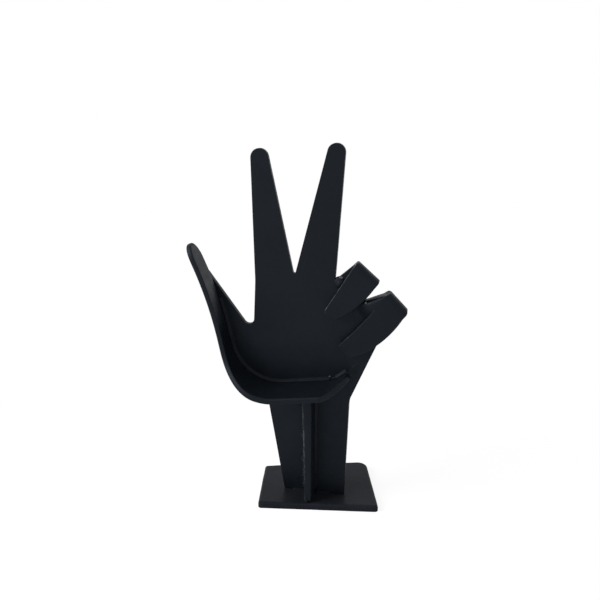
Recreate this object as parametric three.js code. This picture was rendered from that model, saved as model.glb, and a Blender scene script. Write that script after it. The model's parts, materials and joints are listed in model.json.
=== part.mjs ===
// A hand of blackened plate iron, cut, bent and welded, that stands on a foot plate.
// The index and middle fingers are open, the ring and little fingers are folded over the palm,
// and the thumb is the end of a band that runs on round the heel of the palm as a tray.
// Millimetres, +Z up, palm towards -Y, origin under the middle of the foot plate.
import * as THREE from "three";

// Stock and fits
const PLATE = 3; // thickness of the hand, band and fingers
const RIB = 4; // thickness of the flat bar in front of the wrist
const EDGE = 0.7; // radius filed along the cut edges
const FIT = 0.3; // root gap left between pieces that a weld joins

// Foot plate: cut by eye, so its four sides differ, and turned under the hand
const FOOT = 3.6; // thickness
const FOOT_FRONT = 65.5;
const FOOT_BACK = 61.5;
const FOOT_LEFT = 42;
const FOOT_RIGHT = 50;
const FOOT_TURN = 12; // degrees, anticlockwise from above
const FOOT_ROUND = 1.4; // three corners
const FOOT_ROUND_BACK = 5.5; // the worn corner at the back right
const HAND_AHEAD = 9.4; // palm face in front of the middle of the foot
const HAND_RIGHT = 0.4; // wrist beside the middle of the foot

// Hand plate: circles that its outline runs round, as [x, height above the foot, radius].
// A radius below zero is a hollow corner, and 0 is a sharp one.
const WRIST_FOOT = [-17.4, 16.6];
const WRIST_NECK = [30.5, 54, -12]; // hollow where the wrist opens into the palm on the right
const MIDDLE_TIP = [9.8, 187, 4.6];
const INDEX_TIP = [-29.4, 184, 4.7];
const FINGER_NOTCH = [-11.5, 126, -0.7];
const INDEX_INSIDE = [-72.6, 121, -40]; // long hollow at the root of the index finger
const THUMB_NOTCH = [-36.6, 99.3, -3];
const WEB_START = 15.8; // along the band from the thumb tip, where the web reaches it
const WRIST_MEETS = 87.7; // along the band, where the left edge of the wrist reaches it

// Knuckle line: the ring finger is welded from the first to the second point, the little one to the third
const KNUCKLES = [
  [10.2, 123.4],
  [23.6, 111.6],
  [36.5, 98.2],
];

// Folded fingers: rise from the knuckle line to the fold, reach back from the fold to the tip, and how far
// each edge lies inside its own end of the knuckle line at the root, the fold and the tip; from the fold to
// the tip the left and right edges bow to the right
const RING = { rise: 15.5, reach: 31.2, left: [0.5, 2.4, 7.1], right: [0.6, 1.4, 3.6], bow: [0, 2] };
const LITTLE = { rise: 15.9, reach: 40.2, left: [-0.2, 5.4, 9.4], right: [0.2, -0.8, 0.6], bow: [1.1, 2.6] };
const FOLD_GAP = 2.6; // clear space inside a folded finger
const FOLD_CLOSE = 1.5; // degrees past a half turn, so the tips lean towards the palm
const FINGER_ROUND = 1.5; // plan radius of the square-cut tips

// Thumb band: its inner face, from the tip down the thumb, round the heel and along the tray to the lip
const THUMB_START = [-64.5, 140.6];
const THUMB_HEADING = -66.5;
const THUMB_RUN = 12;
const THUMB_BEND = { bend: -11.3, radius: 205 };
const HEEL_RUN = 6.5;
const HEEL_BEND = { bend: 85.4, radius: 26 };
const TRAY_RUN = 24;
const LIP_BEND = { bend: 30, radius: 14 };
const LIP_RUN = 5.5;
const THUMB_TIP_WIDE = 12.5;
const THUMB_TIP_LONG = 9; // length of the tip's round
const THUMB_WIDE = 13.5;
const TRAY_DEEP = 24.5;
const TRAY_FULL = 10; // the tray reaches this depth so far before the heel ends
const LIP_DEEP = 8;

// Rib under the tray
const RIB_X = -1.8;
const RIB_DEEP = 12.6;
const RIB_TOE = 1.2; // radius at its front foot
const RIB_NOSE = 1; // radius at its front top

// Weld beads, by leg length
const TRAY_LEG = 1.7;
const TRAY_WELD_START = 33; // along the band from the thumb tip
const LIP_LEG = 1.3; // the same bead where it ends on the lip
const LIP_STOP = 1.5; // and how far it stops from the end of the lip
const RIB_LEFT_LEG = [3.3, 4.4]; // foot and top
const RIB_RIGHT_LEG = [1.8, 2];
const WRIST_LEG = 2.4;
const KNUCKLE_HALF = 2.6; // half width of the beads across the knuckle line
const KNUCKLE_STOP = 1; // the beads stop short of the edges of the fingers
const FOLD_SHORT = 0.8; // the bead that closes a fold stops so far behind the flap's face
const RIB_STOP = 2; // and of the tray above the rib
const BEAD_END = 0.7; // share of a bead's size lost at its ends
const TACK = 8; // tacks at the wrist, left and right of the rib
const REAR_WELD = 26;

// Facets
const RUN_STEP = 6; // millimetres
const BEND_STEP = 7.5; // degrees
const CORNER_STEPS = 2;
const CLOSING_STEPS = 4; // along the bead that closes a fold

const { degToRad, lerp, clamp, smoothstep } = THREE.MathUtils;
const FRONT = new THREE.Vector3(0, -1, 0);
const UP = new THREE.Vector3(0, 0, 1);

const hand = new THREE.Group();
hand.position.set(HAND_RIGHT, -HAND_AHEAD, FOOT);
const part = new THREE.Group();
part.add(hand);

function piece(group, name, geometry, color) {
  const material = new THREE.MeshStandardMaterial({ color, metalness: 0.7, roughness: 0.55 });
  const mesh = new THREE.Mesh(geometry, material);
  mesh.name = name;
  group.add(mesh);
}

// An outline that runs anticlockwise round circles, with straight common tangents between them.
function outline(circles) {
  const shape = new THREE.Shape();
  const headings = circles.map(([x, y, r], i) => {
    const [x2, y2, r2] = circles[(i + 1) % circles.length];
    return Math.atan2(y2 - y, x2 - x) - Math.asin((r2 - r) / Math.hypot(x2 - x, y2 - y));
  });
  circles.forEach(([x, y, r], i) => {
    const arrive = headings.at(i - 1);
    const leave = headings[i];
    const side = (Math.sign(r) * Math.PI) / 2;
    if (r === 0 && i === 0) shape.moveTo(x, y);
    else if (r === 0) shape.lineTo(x, y);
    else shape.absarc(x, y, Math.abs(r), arrive - side, leave - side, r < 0);
  });
  return shape;
}

// A flat piece of plate with filed edges; the outline lies in XY and the thickness rises from 0.
function flat(shape, thickness) {
  const geometry = new THREE.ExtrudeGeometry(shape, {
    depth: thickness - 2 * EDGE,
    bevelThickness: EDGE,
    bevelSize: EDGE,
    bevelOffset: -EDGE,
    bevelSegments: CORNER_STEPS,
    curveSegments: 14,
  });
  return geometry.translate(0, 0, EDGE);
}

// Stations along the inner face of a bent strip: straight runs and bends, with left bends positive.
function bentLine([x, y], heading, steps) {
  let angle = degToRad(heading);
  let s = 0;
  const line = [{ x, y, angle, s }];
  for (const { run = 0, bend = 0, radius = 0 } of steps) {
    const turn = degToRad(bend);
    const long = run + Math.abs(turn) * radius;
    const count = Math.ceil(Math.max(long / RUN_STEP, Math.abs(bend) / BEND_STEP));
    const half = turn / count / 2;
    const chord = run / count + 2 * radius * Math.abs(Math.sin(half));
    for (let i = 0; i < count; i++) {
      angle += half;
      x += chord * Math.cos(angle);
      y += chord * Math.sin(angle);
      angle += half;
      s += long / count;
      line.push({ x, y, angle, s });
    }
  }
  return line;
}

// Runs that crowd towards an end rounded to a radius, from the end inwards.
function crowded(radius, count) {
  const reach = (i) => radius * (1 - Math.cos((Math.PI / 2) * (i / count)));
  return Array.from({ length: count }, (_, i) => ({ run: reach(i + 1) - reach(i) }));
}

// How far a rounded end draws in at distance s from it; a longer round is part of an ellipse.
function roundedBy(radius, s, long = radius) {
  return s < long ? radius - radius * Math.sqrt(1 - (1 - s / long) ** 2) : 0;
}

// A solid through rings of equal point count, closed by flat ends, with its faces turned outwards.
function loft(rings) {
  const n = rings[0].length;
  const last = (rings.length - 1) * n;
  const index = [];
  for (let row = 0; row < last; row += n) {
    for (let k = 0; k < n; k++) {
      const a = row + k;
      const b = row + ((k + 1) % n);
      index.push(a, b, b + n, a, b + n, a + n);
    }
  }
  for (let k = 1; k < n - 1; k++) index.push(0, k + 1, k, last, last + k, last + k + 1);
  const points = rings.flat();
  let volume = 0;
  for (let i = 0; i < index.length; i += 3) {
    const [a, b, c] = index.slice(i, i + 3).map((k) => points[k]);
    volume += a.dot(b.clone().cross(c));
  }
  if (volume < 0) index.reverse();
  const geometry = new THREE.BufferGeometry().setFromPoints(points);
  geometry.setIndex(index);
  geometry.computeVertexNormals();
  return geometry;
}

// A strip of plate bent along a line. The line lies in the plane of axes u and v, the strip spans
// from edges(s)[0] to edges(s)[1] along w, and the thickness lies on the right of the line.
function bentStrip(line, edges, origin, u, v, w) {
  const long = line.at(-1).s;
  const rings = line.map(({ x, y, angle, s }) => {
    const inset = roundedBy(EDGE, Math.min(s, long - s));
    const round = EDGE - 0.9 * inset;
    const [low, high] = edges(s);
    const middle = (low + high) / 2;
    const narrowest = EDGE / 2; // a rounded tip ends in a small flat
    const half = Math.max((high - low) / 2 - inset - round, narrowest);
    const corners = [
      [middle + half, inset + round, 0],
      [middle + half, PLATE - inset - round, 1],
      [middle - half, PLATE - inset - round, 2],
      [middle - half, inset + round, 3],
    ];
    return corners.flatMap(([across, deep, quarter]) =>
      Array.from({ length: CORNER_STEPS + 1 }, (_, i) => {
        const turn = (Math.PI / 2) * (quarter - 1 + i / CORNER_STEPS);
        const out = deep + round * Math.sin(turn);
        return origin
          .clone()
          .addScaledVector(u, x + out * Math.sin(angle))
          .addScaledVector(v, y - out * Math.cos(angle))
          .addScaledVector(w, across + round * Math.cos(turn));
      }),
    );
  });
  return loft(rings);
}

// A weld bead: a section in units of its size, carried along stations and drawn in at both ends.
function bead(stations, section) {
  const long = stations.at(-1).s - stations[0].s;
  const rings = stations.map(({ at, u, v, s, size }) => {
    const end = Math.min(s - stations[0].s, stations[0].s + long - s);
    const full = size - BEAD_END * roundedBy(size, end);
    return section.map(([a, b]) => at.clone().addScaledVector(u, a * full).addScaledVector(v, b * full));
  });
  return loft(rings);
}

// Stations of a straight bead from one point to another, with its size running from one value to another.
function straight(from, to, u, v, [size, endSize]) {
  const long = from.distanceTo(to);
  const end = Math.min(size, endSize, long / 3);
  const ends = [0, 0.15, 0.5, 1].map((share) => share * end);
  const stops = [...ends, long / 2, ...ends.map((s) => long - s).reverse()];
  return stops.map((s) => {
    const share = s / long;
    return { at: from.clone().lerp(to, share), u, v, s, size: lerp(size, endSize, share) };
  });
}

// Bead sections: a fillet in a corner, and a low dome over a butt joint
const bulge = new THREE.QuadraticBezierCurve(
  new THREE.Vector2(1, 0),
  new THREE.Vector2(0.7, 0.7),
  new THREE.Vector2(0, 1),
);
const FILLET = [[0, 0], ...bulge.getPoints(4).map(({ x, y }) => [x, y])];
const halfTurn = Array.from({ length: 7 }, (_, i) => (Math.PI * i) / 6);
const DOME = halfTurn.map((t) => [Math.cos(t), 0.5 * Math.sin(t)]);

// Thumb band
const thumbTip = crowded(THUMB_TIP_LONG, 7);
const thumbLong = thumbTip.reduce((sum, { run }) => sum + run, 0);
const lipEnd = crowded(EDGE, CORNER_STEPS).reverse();
const bandLine = bentLine(THUMB_START, THUMB_HEADING, [
  ...thumbTip,
  { run: THUMB_RUN - thumbLong },
  THUMB_BEND,
  { run: HEEL_RUN },
  HEEL_BEND,
  { run: TRAY_RUN },
  LIP_BEND,
  { run: LIP_RUN - EDGE },
  ...lipEnd,
]);
const arc = ({ bend, radius }) => Math.abs(degToRad(bend)) * radius;
const heelStart = THUMB_RUN + arc(THUMB_BEND) + HEEL_RUN;
const heelEnd = heelStart + arc(HEEL_BEND);
const lipStart = heelEnd + TRAY_RUN;
const bandLong = bandLine.at(-1).s;

function bandEdges(s) {
  const thumb = lerp(THUMB_TIP_WIDE, THUMB_WIDE, clamp(s / heelStart, 0, 1));
  const wide = lerp(thumb, TRAY_DEEP, smoothstep(s, heelStart, heelEnd - TRAY_FULL));
  const drawn = roundedBy(THUMB_TIP_WIDE / 2, s, THUMB_TIP_LONG);
  return [drawn, lerp(wide, LIP_DEEP, clamp((s - lipStart) / (bandLong - lipStart), 0, 1)) - drawn];
}

const X = new THREE.Vector3(1, 0, 0);
const corner = new THREE.Vector3();
piece(hand, "thumb_tray", bentStrip(bandLine, bandEdges, corner, X, UP, FRONT), 0x2c3033);

// A point at a station of the band, out from its inner face.
function bandPoint({ x, y, angle }, out) {
  return [x + out * Math.sin(angle), y - out * Math.cos(angle)];
}

// The stations of the band between two distances from the thumb tip, with one at each of them.
function bandStretch(from, to) {
  const stationAt = (s) => {
    const next = bandLine.findIndex((station) => station.s >= s);
    const [a, b] = [bandLine[next - 1], bandLine[next]];
    const share = (s - a.s) / (b.s - a.s);
    return { x: lerp(a.x, b.x, share), y: lerp(a.y, b.y, share), angle: lerp(a.angle, b.angle, share), s };
  };
  const between = bandLine.filter(({ s }) => s > from + FIT && s < to - FIT);
  return [stationAt(from), ...between, stationAt(to)];
}

// Hand plate: its left side follows the outer face of the band, from the web to the wrist
const [webEnd, ...behindBand] = bandStretch(WEB_START, WRIST_MEETS);
const handOutline = outline([
  [WRIST_FOOT[0], 0, 0],
  [WRIST_FOOT[1], 0, 0],
  WRIST_NECK,
  [...KNUCKLES[2], 0],
  [...KNUCKLES[1], 0],
  [...KNUCKLES[0], 0],
  MIDDLE_TIP,
  FINGER_NOTCH,
  INDEX_TIP,
  INDEX_INSIDE,
  THUMB_NOTCH,
  [...bandPoint(webEnd, PLATE / 2), 0],
  ...behindBand.map((station) => [...bandPoint(station, PLATE), 0]),
]);
const handPlate = flat(handOutline, PLATE).rotateX(Math.PI / 2).translate(0, PLATE, 0);
piece(hand, "hand_plate", handPlate, 0x2a2e31);

// Folded fingers, each bent up from its own knuckle line
function foldedFinger([ax, az], [bx, bz], { rise, reach, left, right, bow }) {
  const knuckle = new THREE.Vector3(bx - ax, 0, bz - az);
  const wide = knuckle.length();
  const along = knuckle.normalize();
  const away = new THREE.Vector3(-along.z, 0, along.x);
  const root = new THREE.Vector3(ax, 0, az);
  const level = rise - FOLD_GAP / 2 - PLATE;
  const back = reach - FOLD_GAP / 2 - PLATE;
  const rootEnd = crowded(EDGE, CORNER_STEPS);
  const tipEnd = crowded(FINGER_ROUND, 4).reverse();
  const line = bentLine([FIT, 0], 0, [
    ...rootEnd,
    { run: level - FIT - EDGE },
    { bend: 180 + FOLD_CLOSE, radius: FOLD_GAP / 2 },
    { run: back - FINGER_ROUND },
    ...tipEnd,
  ]);
  const long = line.at(-1).s;
  const fold = level - FIT + (Math.PI * FOLD_GAP) / 4;
  const edges = (s) => {
    const before = clamp(s / fold, 0, 1);
    const after = clamp((s - fold) / (long - fold), 0, 1);
    const drawn = roundedBy(FINGER_ROUND, long - s);
    const [low, inside] = [left, right].map((edge) => lerp(lerp(edge[0], edge[1], before), edge[2], after));
    const [lowBow, highBow] = bow.map((most) => 4 * most * after * (1 - after));
    return [low + lowBow + drawn, wide - inside + highBow - drawn];
  };
  const weldEnds = [left[0] + KNUCKLE_STOP, wide - right[0] - KNUCKLE_STOP];
  const weldLine = weldEnds.map((w) => root.clone().addScaledVector(along, w));

  // A bead that closes the fold's left side: it fills the corner between the root's face and the flap's side
  const turned = level - FIT + degToRad(180 + FOLD_CLOSE) * (FOLD_GAP / 2);
  const lowest = KNUCKLE_HALF + FIT;
  const tall = FOLD_GAP + PLATE - FOLD_SHORT;
  const closing = Array.from({ length: CLOSING_STEPS + 1 }, (_, i) => {
    const up = lerp(lowest, level, i / CLOSING_STEPS);
    const flapSide = edges(turned + level - up)[0] - FIT;
    const leg = Math.max(flapSide - edges(up - FIT)[0] - EDGE, EDGE);
    const at = root.clone().addScaledVector(along, flapSide).addScaledVector(away, up);
    return FILLET.map(([a, b]) => at.clone().addScaledVector(along, -a * leg).addScaledVector(FRONT, b * tall));
  });
  return {
    strip: bentStrip(line, edges, root, away, FRONT, along),
    weld: bead(straight(...weldLine, away, FRONT, [KNUCKLE_HALF, KNUCKLE_HALF]), DOME),
    closing,
  };
}
const ring = foldedFinger(KNUCKLES[0], KNUCKLES[1], RING);
const little = foldedFinger(KNUCKLES[1], KNUCKLES[2], LITTLE);
piece(hand, "ring_finger", ring.strip, 0x2c3033);
piece(hand, "little_finger", little.strip, 0x2c3033);
piece(hand, "ring_finger_weld", ring.weld, 0x3a3f42);
piece(hand, "little_finger_weld", little.weld, 0x3a3f42);
piece(hand, "little_fold_weld", loft(little.closing), 0x3a3f42);

// Rib: a bar on edge from the foot up to the underside of the tray
const ribLeft = RIB_X - RIB / 2;
const underTray = bandStretch(heelEnd, lipStart).map((station) => bandPoint(station, PLATE));
const [trayA, trayB] = [underTray[0], underTray.at(-1)];
const ribTall = lerp(trayA[1], trayB[1], (ribLeft - trayA[0]) / (trayB[0] - trayA[0])) - FIT;
const ribOutline = outline([
  [0, 0, 0],
  [0, ribTall, 0],
  [RIB_NOSE - RIB_DEEP, ribTall - RIB_NOSE, RIB_NOSE],
  [RIB_TOE - RIB_DEEP, RIB_TOE, RIB_TOE],
]);
const ribBar = flat(ribOutline, RIB).rotateX(Math.PI / 2).rotateZ(Math.PI / 2).translate(ribLeft, 0, 0);
piece(hand, "wrist_rib", ribBar, 0x2e3235);

// Beads: inside the tray, beside the rib, and at the foot of the wrist
const lipStop = bandLong - LIP_STOP;
const seam = bandStretch(TRAY_WELD_START, lipStop).map((station) => {
  const { angle, s } = station;
  const [x, z] = bandPoint(station, -FIT);
  const inward = new THREE.Vector3(-Math.sin(angle), 0, Math.cos(angle));
  const size = lerp(TRAY_LEG, LIP_LEG, clamp((s - lipStart) / (lipStop - lipStart), 0, 1));
  return { at: new THREE.Vector3(x, 0, z), u: inward, v: FRONT, s, size };
});
piece(hand, "tray_weld", bead(seam, FILLET), 0x3a3f42);

const LEFT = X.clone().negate();
const REAR = FRONT.clone().negate();
const ribRight = ribLeft + RIB;
function ribWeld(x, side, legs) {
  const foot = new THREE.Vector3(x, 0, WRIST_LEG + FIT);
  const top = new THREE.Vector3(x, 0, ribTall - RIB_STOP);
  return bead(straight(foot, top, side, FRONT, legs), FILLET);
}
piece(hand, "rib_weld_left", ribWeld(ribLeft, LEFT, RIB_LEFT_LEG), 0x3a3f42);
piece(hand, "rib_weld_right", ribWeld(ribRight, X, RIB_RIGHT_LEG), 0x3a3f42);

function wristWeld(fromX, toX, y, face) {
  const from = new THREE.Vector3(fromX, y, 0);
  const to = new THREE.Vector3(toX, y, 0);
  return bead(straight(from, to, face, UP, [WRIST_LEG, WRIST_LEG]), FILLET);
}
piece(hand, "wrist_weld_left", wristWeld(ribLeft - FIT - TACK, ribLeft - FIT, 0, FRONT), 0x3a3f42);
piece(hand, "wrist_weld_right", wristWeld(ribRight + FIT, ribRight + FIT + TACK, 0, FRONT), 0x3a3f42);
piece(hand, "wrist_weld_rear", wristWeld(-REAR_WELD / 2, REAR_WELD / 2, PLATE, REAR), 0x3a3f42);

// Foot plate
const footCorner = (x, y, r) => [x - Math.sign(x) * r, y - Math.sign(y) * r, r];
const footOutline = outline([
  footCorner(-FOOT_FRONT / 2, -FOOT_LEFT / 2, FOOT_ROUND),
  footCorner(FOOT_FRONT / 2, -FOOT_RIGHT / 2, FOOT_ROUND),
  footCorner(FOOT_BACK / 2, FOOT_RIGHT / 2, FOOT_ROUND_BACK),
  footCorner(-FOOT_BACK / 2, FOOT_LEFT / 2, FOOT_ROUND),
]);
const footPlate = flat(footOutline, FOOT).rotateZ(degToRad(FOOT_TURN));
piece(part, "base_plate", footPlate, 0x303437);

export default part;
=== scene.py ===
"""Iron hand ornament: the finished surfaces, the black iron and the studio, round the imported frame."""
import json
import math

import bmesh
import bpy
import numpy as np
from bpy.props import FloatProperty, FloatVectorProperty, PointerProperty
from bpy.types import Operator, Panel, PropertyGroup
from mathutils import Matrix, Vector

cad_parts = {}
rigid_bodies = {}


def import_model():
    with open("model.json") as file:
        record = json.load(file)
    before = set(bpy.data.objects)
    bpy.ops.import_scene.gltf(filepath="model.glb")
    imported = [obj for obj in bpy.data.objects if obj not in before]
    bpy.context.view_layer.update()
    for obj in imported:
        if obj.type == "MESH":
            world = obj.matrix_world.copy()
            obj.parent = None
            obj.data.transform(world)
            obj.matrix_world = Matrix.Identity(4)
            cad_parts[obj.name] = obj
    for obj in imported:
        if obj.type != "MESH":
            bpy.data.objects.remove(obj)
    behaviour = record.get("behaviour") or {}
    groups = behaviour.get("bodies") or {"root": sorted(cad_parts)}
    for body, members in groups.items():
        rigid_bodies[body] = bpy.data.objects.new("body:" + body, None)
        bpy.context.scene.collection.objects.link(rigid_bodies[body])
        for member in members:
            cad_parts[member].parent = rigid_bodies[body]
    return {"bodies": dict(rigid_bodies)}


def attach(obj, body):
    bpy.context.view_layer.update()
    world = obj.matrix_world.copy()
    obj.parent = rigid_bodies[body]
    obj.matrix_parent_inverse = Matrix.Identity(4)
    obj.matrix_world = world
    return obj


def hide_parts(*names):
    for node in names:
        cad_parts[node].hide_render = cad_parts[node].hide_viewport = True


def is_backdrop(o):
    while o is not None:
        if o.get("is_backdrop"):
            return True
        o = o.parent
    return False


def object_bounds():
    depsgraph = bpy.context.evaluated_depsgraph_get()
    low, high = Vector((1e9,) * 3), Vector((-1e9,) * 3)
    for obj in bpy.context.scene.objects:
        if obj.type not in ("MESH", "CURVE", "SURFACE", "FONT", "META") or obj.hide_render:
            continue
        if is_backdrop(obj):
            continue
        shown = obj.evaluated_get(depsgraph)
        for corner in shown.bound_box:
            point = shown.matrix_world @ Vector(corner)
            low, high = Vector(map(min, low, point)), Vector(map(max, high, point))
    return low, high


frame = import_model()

bl_info = {
    "name": "Iron Hand",
    "version": (1, 0, 0),
    "blender": (4, 5, 0),
    "location": "3D View > Sidebar > Iron Hand",
    "description": "Builds a hand of welded black plate iron that stands on a foot plate",
    "category": "Add Mesh",
}

MM = 0.001
BODY = next(iter(frame["bodies"]))
# Point attribute: how far a place is rubbed to bare iron, which is partly real wear and partly painted
# glints and painted edge highlights, or below 0 how far heat has dulled it
WEAR_AND_GLINT = "wear"
CAD_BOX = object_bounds()


# Settings

def number(name, description, value, **options):
    return FloatProperty(name=name, description=description, default=value, **options)


def numbers(name, description, values, **options):
    return FloatVectorProperty(
        name=name, description=description, size=len(values), default=values, **options
    )


def length(name, description, millimetres):
    return number(name, description, millimetres * MM, unit="LENGTH", precision=5)


def lengths(name, description, *millimetres):
    values = [value * MM for value in millimetres]
    return numbers(name, description, values, unit="LENGTH", precision=5)


def angle(name, description, degrees):
    return number(name, description, math.radians(degrees), subtype="ANGLE")


def share(name, description, value):
    return number(name, description, value, min=0, max=1, subtype="FACTOR")


def colour(name, description, *rgb):
    return numbers(name, description, rgb, min=0, max=1, subtype="COLOR")


class StockSizes(PropertyGroup):
    plate: length("Plate", "Thickness of the hand, the band and the fingers", 3)
    rib: length("Bar", "Thickness of the flat bar in front of the wrist", 4)
    edge: length("Filed edge", "Radius filed along the cut edges", 0.45)
    gap: length("Root gap", "Gap between pieces that a weld joins", 0.3)
    corner: length("Corner", "Radius of the outlines' sharp corners", 0.7)


class FootSizes(PropertyGroup):
    thick: length("Thickness", "Thickness of the foot plate", 3.6)
    front: length("Front", "Length of the front side", 65.5)
    back: length("Back", "Length of the back side", 61.5)
    left: length("Left", "Length of the left side", 42)
    right: length("Right", "Length of the right side", 50)
    turn: angle("Turn", "Turn of the foot under the hand", 12)
    corner: length("Corner", "Radius of three corners", 1.8)
    worn_corner: length("Worn corner", "Radius of the corner at the back right", 5.5)
    edge: length("Edge", "Radius along the top edges of the foot plate", 1.6)
    wander: length("Wander", "How far the hand-cut sides wander", 0.1)


class HandSizes(PropertyGroup):
    right: length("Right", "Wrist beside the middle of the foot", 0.4)
    ahead: length("Ahead", "Palm face in front of the middle of the foot", 9.4)
    wrist_foot: lengths("Wrist foot", "Left and right ends of the wrist on the foot", -17.4, 16.6)
    wrist_neck: lengths("Wrist neck", "Hollow where the wrist opens into the palm", 30.5, 54, -12)
    middle_tip: lengths("Middle tip", "Round of the middle finger's tip", 9.8, 187, 4.6)
    index_tip: lengths("Index tip", "Round of the index finger's tip", -29.4, 184, 4.7)
    finger_notch: lengths("Finger notch", "Foot of the V between the open fingers", -11.5, 126, -0.7)
    index_inside: lengths("Index root", "Long hollow at the root of the index finger", -72.6, 121, -40)
    thumb_notch: lengths("Thumb notch", "Hollow between the index finger and the thumb", -36.6, 99.3, -3)
    web_start: length("Web", "Along the band from the thumb tip, where the web reaches it", 15.8)
    wrist_meets: length("Wrist top", "Along the band, where the left side of the wrist reaches it", 87.7)
    knuckle_top: lengths("Top knuckle", "Top end of the ring finger's root", 10.2, 123.4)
    knuckle_middle: lengths("Middle knuckle", "Where the two folded fingers meet", 23.6, 111.6)
    knuckle_low: lengths("Low knuckle", "Low end of the little finger's root", 36.5, 98.2)
    wander: length("Wander", "How far the cut sides wander", 0.08)


class FoldSizes(PropertyGroup):
    gap: length("Gap", "Clear space inside a folded finger", 2.6)
    close: angle("Close", "How far past a half turn the fingers are folded", 1.5)
    tip: length("Tip corner", "Radius of the corners of the square tips", 1.5)
    crisp: number("Crispness", "Power of the fold's outer round; 2 is a circle", 2.6)


class RingSizes(PropertyGroup):
    rise: length("Rise", "From the knuckle line to the fold", 15.5)
    reach: length("Reach", "From the fold back to the tip", 31.2)
    left: lengths("Left side", "Inside the knuckle line's end at root, fold and tip", 0.5, 2.2, 7.1)
    right: lengths("Right side", "Inside the knuckle line's end at root, fold and tip", 0.6, 0.6, 3.6)
    bow: lengths("Bow", "How far the left and right sides bow to the right towards the tip", 0, 2)
    round: length("Fold corner", "Radius of the fold's corners, seen from the front", 1.1)


class LittleSizes(PropertyGroup):
    rise: length("Rise", "From the knuckle line to the fold", 15.9)
    reach: length("Reach", "From the fold back to the tip", 40.2)
    left: lengths("Left side", "Inside the knuckle line's end at root, fold and tip", -0.2, 5.2, 8.9)
    right: lengths("Right side", "Inside the knuckle line's end at root, fold and tip", 0.2, -0.56, 0.6)
    bow: lengths("Bow", "How far the left and right sides bow to the right towards the tip", 0.9, 3.3)
    round: length("Fold corner", "Radius of the fold's corners, seen from the front", 1.8)


class BandSizes(PropertyGroup):
    start: lengths("Start", "Inner face at the thumb tip", -64.5, 140.6)
    heading: angle("Heading", "Direction from the thumb tip", -66.5)
    thumb_run: length("Thumb run", "Straight run at the thumb tip", 12)
    thumb_bend: angle("Thumb bend", "Turn of the thumb's long bend", -11.3)
    thumb_radius: length("Thumb radius", "Radius of the thumb's long bend", 205)
    heel_run: length("Heel run", "Straight run above the heel", 6.5)
    heel_bend: angle("Heel bend", "Turn round the heel", 85.4)
    heel_radius: length("Heel radius", "Inner radius of the heel", 26)
    tray_run: length("Tray run", "Straight run of the tray", 24)
    lip_bend: angle("Lip bend", "Turn up into the lip", 30)
    lip_radius: length("Lip radius", "Inner radius of the lip's bend", 14)
    lip_run: length("Lip run", "Straight run of the lip", 5.5)
    tip_wide: length("Tip width", "Width of the thumb at its tip", 12.5)
    tip_long: length("Tip length", "Length of the round of the thumb's tip", 9)
    thumb_wide: length("Thumb width", "Width of the thumb at its root", 13.5)
    tray_deep: length("Tray depth", "Depth of the tray in front of the palm", 24.5)
    tray_full: length("Full depth", "How far before the heel's end the tray is at full depth", 10)
    lip_deep: length("Lip depth", "Depth left at the end of the lip", 8)
    lip_corner: length("Lip corner", "Radius of the corners at the end of the lip", 1.6)
    rim: length("Rim", "Radius that rounds the band's front edge", 1.2)


class RibSizes(PropertyGroup):
    x: length("Place", "Middle of the bar beside the middle of the wrist", -1.8)
    deep: length("Depth", "How far the bar stands out from the wrist", 12.6)
    toe: length("Toe", "Radius at its front foot", 1.8)
    nose: length("Nose", "Radius at its front top", 1.8)
    left_edge: length("Left edge", "Radius along its worn left edge", 1.8)
    flare: length("Flare", "How far its left side spreads at the top", 1.3)
    flare_long: length("Flare length", "Length of that spread", 48)
    right_edge: length("Right edge", "Radius along its right edge", 0.5)
    wander: length("Wander", "How far its worn edges wander", 0.2)


class WeldSizes(PropertyGroup):
    tray_leg: length("Tray leg", "Leg of the bead in the tray", 1.5)
    tray_start: length("Tray start", "Where that bead starts, along the band from the thumb tip", 33)
    lip_leg: length("Lip leg", "Leg of the same bead at the end of the lip", 1.3)
    lip_stop: length("Lip stop", "How far it stops from the end of the lip", 0.2)
    lip_round: lengths("Lip end", "Its legs round the end of the lip, on the lip and the palm", 3.4, 6.5)
    rib_left: lengths("Bar, left", "Leg of the bead left of the bar, at its foot and its top", 3.3, 4.4)
    rib_right: lengths("Bar, right", "Leg of the bead right of the bar, at its foot and its top", 1.2, 1.3)
    rib_stop: length("Bar stop", "How far these beads stop under the tray", 2)
    wrist_leg: length("Wrist leg", "Leg of the beads at the foot of the wrist", 1.0)
    tack: length("Tack", "Length of the tacks beside the bar", 8)
    rear: length("Rear", "Length of the bead behind the wrist", 26)
    knuckle_half: length("Knuckle width", "Half width of the beads across the knuckle line", 2.6)
    knuckle_stop: length("Knuckle stop", "How far these beads stop from the sides of the fingers", 1)
    crater: length("Crater", "Along the band, where the tray bead stops in a crater", 122.7)
    lip_start: length("Lip start", "Along the band, where it starts again on the lip", 127)
    overflow: length("Overflow", "How far the bead that closes a fold swells past the root's side", 0.3)
    fold_end: length("Fold end", "Length over which that bead runs out on the palm", 12)
    fold_toe: length("Fold toe", "How far it reaches past the knuckle line on the palm", 7)
    fold_under: length("Fold under", "How far it reaches under the ring finger there", 1.2)
    fold_back: length("Fold back", "How far it wraps round the root's front edge", 1.2)
    pitch: length("Ripple pitch", "Distance from one ripple to the next", 1.15)
    ripple: share("Ripple", "Height of the ripples, as a share of the leg", 0.05)
    rough: share("Rough ripple", "The same for the rough bead left of the bar", 0.2)
    uneven: share("Unevenness", "How far the size of a bead wanders, as a share of its leg", 0.12)
    sink: length("Sink", "How deep the beads lie in the plates", 0.35)


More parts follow.
